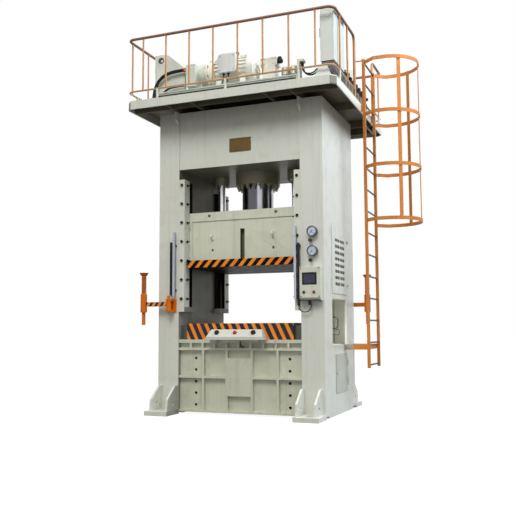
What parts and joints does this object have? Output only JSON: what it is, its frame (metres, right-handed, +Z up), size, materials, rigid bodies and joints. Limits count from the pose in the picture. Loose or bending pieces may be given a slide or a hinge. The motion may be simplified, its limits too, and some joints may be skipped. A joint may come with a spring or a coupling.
{
  "type": "hydraulic press",
  "caption": "Straight-side hydraulic press: H frame with guided slide over a bolster, deck with guard rail and power unit on top, caged ladder, safety posts and two-hand console.",
  "frame": {"origin": "on the floor, in the middle of the four anchor bolts under the press", "axes": "+Z up; -Y is the front, where the operator stands; +X is the side with the ladder"},
  "size_m": [3.7778, 2.784, 5.21],
  "materials": {
    "aluminium": "anodised",
    "black_plastic": "moulded",
    "brass": "brushed",
    "chrome": "hard chromed, polished",
    "copper": "plain",
    "cream": "satin machine paint",
    "dark": "black paint",
    "glass_screen": "glossy screen",
    "green": "glossy",
    "grey": "semi-gloss",
    "hazard": "orange and black diagonal stripes on the front",
    "orange": "gloss safety paint",
    "red": "glossy",
    "rubber": "matt",
    "steel": "machined",
    "white": "powder coat"
  },
  "bodies": {
    "frame": {"bed_frame": "cream", "bell_housing": "grey", "bolster_clamps": "grey", "bolster_plate": "hazard", "cabinet_hoses": "rubber", "console_box": "cream", "console_cable": "rubber", "crown_beam": "cream", "cylinders": "grey", "deck_platform": "cream", "electrical_cabinet": "white", "gauges": "steel", "gib_bolts": "dark", "gib_front_left": "cream", "gib_front_right": "cream", "gib_rear_left": "cream", "gib_rear_right": "cream", "guard_rail_front": "orange", "guard_rail_rear": "orange", "hose_fittings": "copper", "ladder": "orange", "ladder_brackets": "orange", "ladder_cage": "orange", "left_upright": "cream", "lifting_lugs": "cream", "light_curtains": "aluminium", "motor": "grey", "name_plate": "brass", "oil_tank": "cream", "operator_panel": "cream", "panel_screen": "glass_screen", "pipe_trough": "cream", "pump": "grey", "pump_hoses": "rubber", "right_upright": "cream", "safety_hubs": "orange", "terminal_box": "grey", "valve_block": "white", "valve_manifold": "grey", "window_cable": "rubber"},
    "slide": {"slide_body": "cream", "slide_bottom_plate": "hazard", "main_plunger": "chrome", "side_rods": "chrome"},
    "vent_door": {"vent_door": "cream"},
    "lower_door": {"lower_door": "cream"},
    "cabinet_door": {"cabinet_door": "white"},
    "needle_upper": {"gauge_needle_upper": "dark"},
    "needle_lower": {"gauge_needle_lower": "dark"},
    "valve_upper": {"gauge_valve_upper": "steel"},
    "valve_lower": {"gauge_valve_lower": "steel"},
    "green_button": {"green_button": "green"},
    "red_button": {"red_button": "red"},
    "palm_left": {"palm_button_left": "black_plastic"},
    "palm_right": {"palm_button_right": "black_plastic"},
    "stop": {"stop_button": "red"},
    "arm_front": {"safety_arm_front": "orange"},
    "arm_rear": {"safety_arm_rear": "orange"},
    "post_front": {"safety_post_front": "orange"},
    "post_rear": {"safety_post_rear": "orange"}
  },
  "joints": [
    {"name": "slide_stroke", "type": "slide", "parent": "frame", "child": "slide", "axis": [0, 0, 1], "range_m": [-0.55, 0.25]},
    {"name": "vent_door_hinge", "type": "hinge", "parent": "frame", "child": "vent_door", "pos_m": [1.2083, -0.404, 2.0735], "axis": [0, 0, -1], "range_deg": [0, 22]},
    {"name": "lower_door_hinge", "type": "hinge", "parent": "frame", "child": "lower_door", "pos_m": [1.2083, 0.34, 0.542], "axis": [0, 0, 1], "range_deg": [0, 58]},
    {"name": "cabinet_door_hinge", "type": "hinge", "parent": "frame", "child": "cabinet_door", "pos_m": [1.2747, -0.58, 4.94], "axis": [0, 0, -1], "range_deg": [0, 100]},
    {"name": "needle_upper_turn", "type": "hinge", "parent": "frame", "child": "needle_upper", "pos_m": [1.058, -0.805, 2.393], "axis": [0, 1, 0], "range_deg": [0, 270], "stiffness_Nm_per_rad": 0.02},
    {"name": "valve_upper_turn", "type": "hinge", "parent": "frame", "child": "valve_upper", "pos_m": [1.033, -0.8, 2.276], "axis": [0, 1, 0], "range_deg": [0, 360]},
    {"name": "needle_lower_turn", "type": "hinge", "parent": "frame", "child": "needle_lower", "pos_m": [1.058, -0.805, 2.14], "axis": [0, 1, 0], "range_deg": [0, 270], "stiffness_Nm_per_rad": 0.02},
    {"name": "valve_lower_turn", "type": "hinge", "parent": "frame", "child": "valve_lower", "pos_m": [1.033, -0.8, 2.017], "axis": [0, 1, 0], "range_deg": [0, 360]},
    {"name": "green_button_push", "type": "slide", "parent": "frame", "child": "green_button", "axis": [0, 1, 0], "range_m": [0, 0.004], "stiffness_N_per_m": 300, "springref_m": -0.003},
    {"name": "red_button_push", "type": "slide", "parent": "frame", "child": "red_button", "axis": [0, 1, 0], "range_m": [0, 0.004], "stiffness_N_per_m": 300, "springref_m": -0.003},
    {"name": "palm_left_push", "type": "slide", "parent": "frame", "child": "palm_left", "axis": [0, 0.6925, -0.7214], "range_m": [0, 0.006], "stiffness_N_per_m": 400, "springref_m": -0.005},
    {"name": "palm_right_push", "type": "slide", "parent": "frame", "child": "palm_right", "axis": [0, 0.6925, -0.7214], "range_m": [0, 0.006], "stiffness_N_per_m": 400, "springref_m": -0.005},
    {"name": "stop_push", "type": "slide", "parent": "frame", "child": "stop", "axis": [0, 0.6925, -0.7214], "range_m": [0, 0.006], "stiffness_N_per_m": 400, "springref_m": -0.005},
    {"name": "arm_front_swing", "type": "hinge", "parent": "frame", "child": "arm_front", "pos_m": [-0.99, -0.85, 1.467], "axis": [0, 0, 1], "range_deg": [0, 168]},
    {"name": "post_front_height", "type": "slide", "parent": "arm_front", "child": "post_front", "axis": [0, 0, 1], "range_m": [0, 0.15]},
    {"name": "arm_rear_swing", "type": "hinge", "parent": "frame", "child": "arm_rear", "pos_m": [0.99, 0.85, 1.467], "axis": [0, 0, 1], "range_deg": [0, 168]},
    {"name": "post_rear_height", "type": "slide", "parent": "arm_rear", "child": "post_rear", "axis": [0, 0, 1], "range_m": [0, 0.15]}
  ]
}
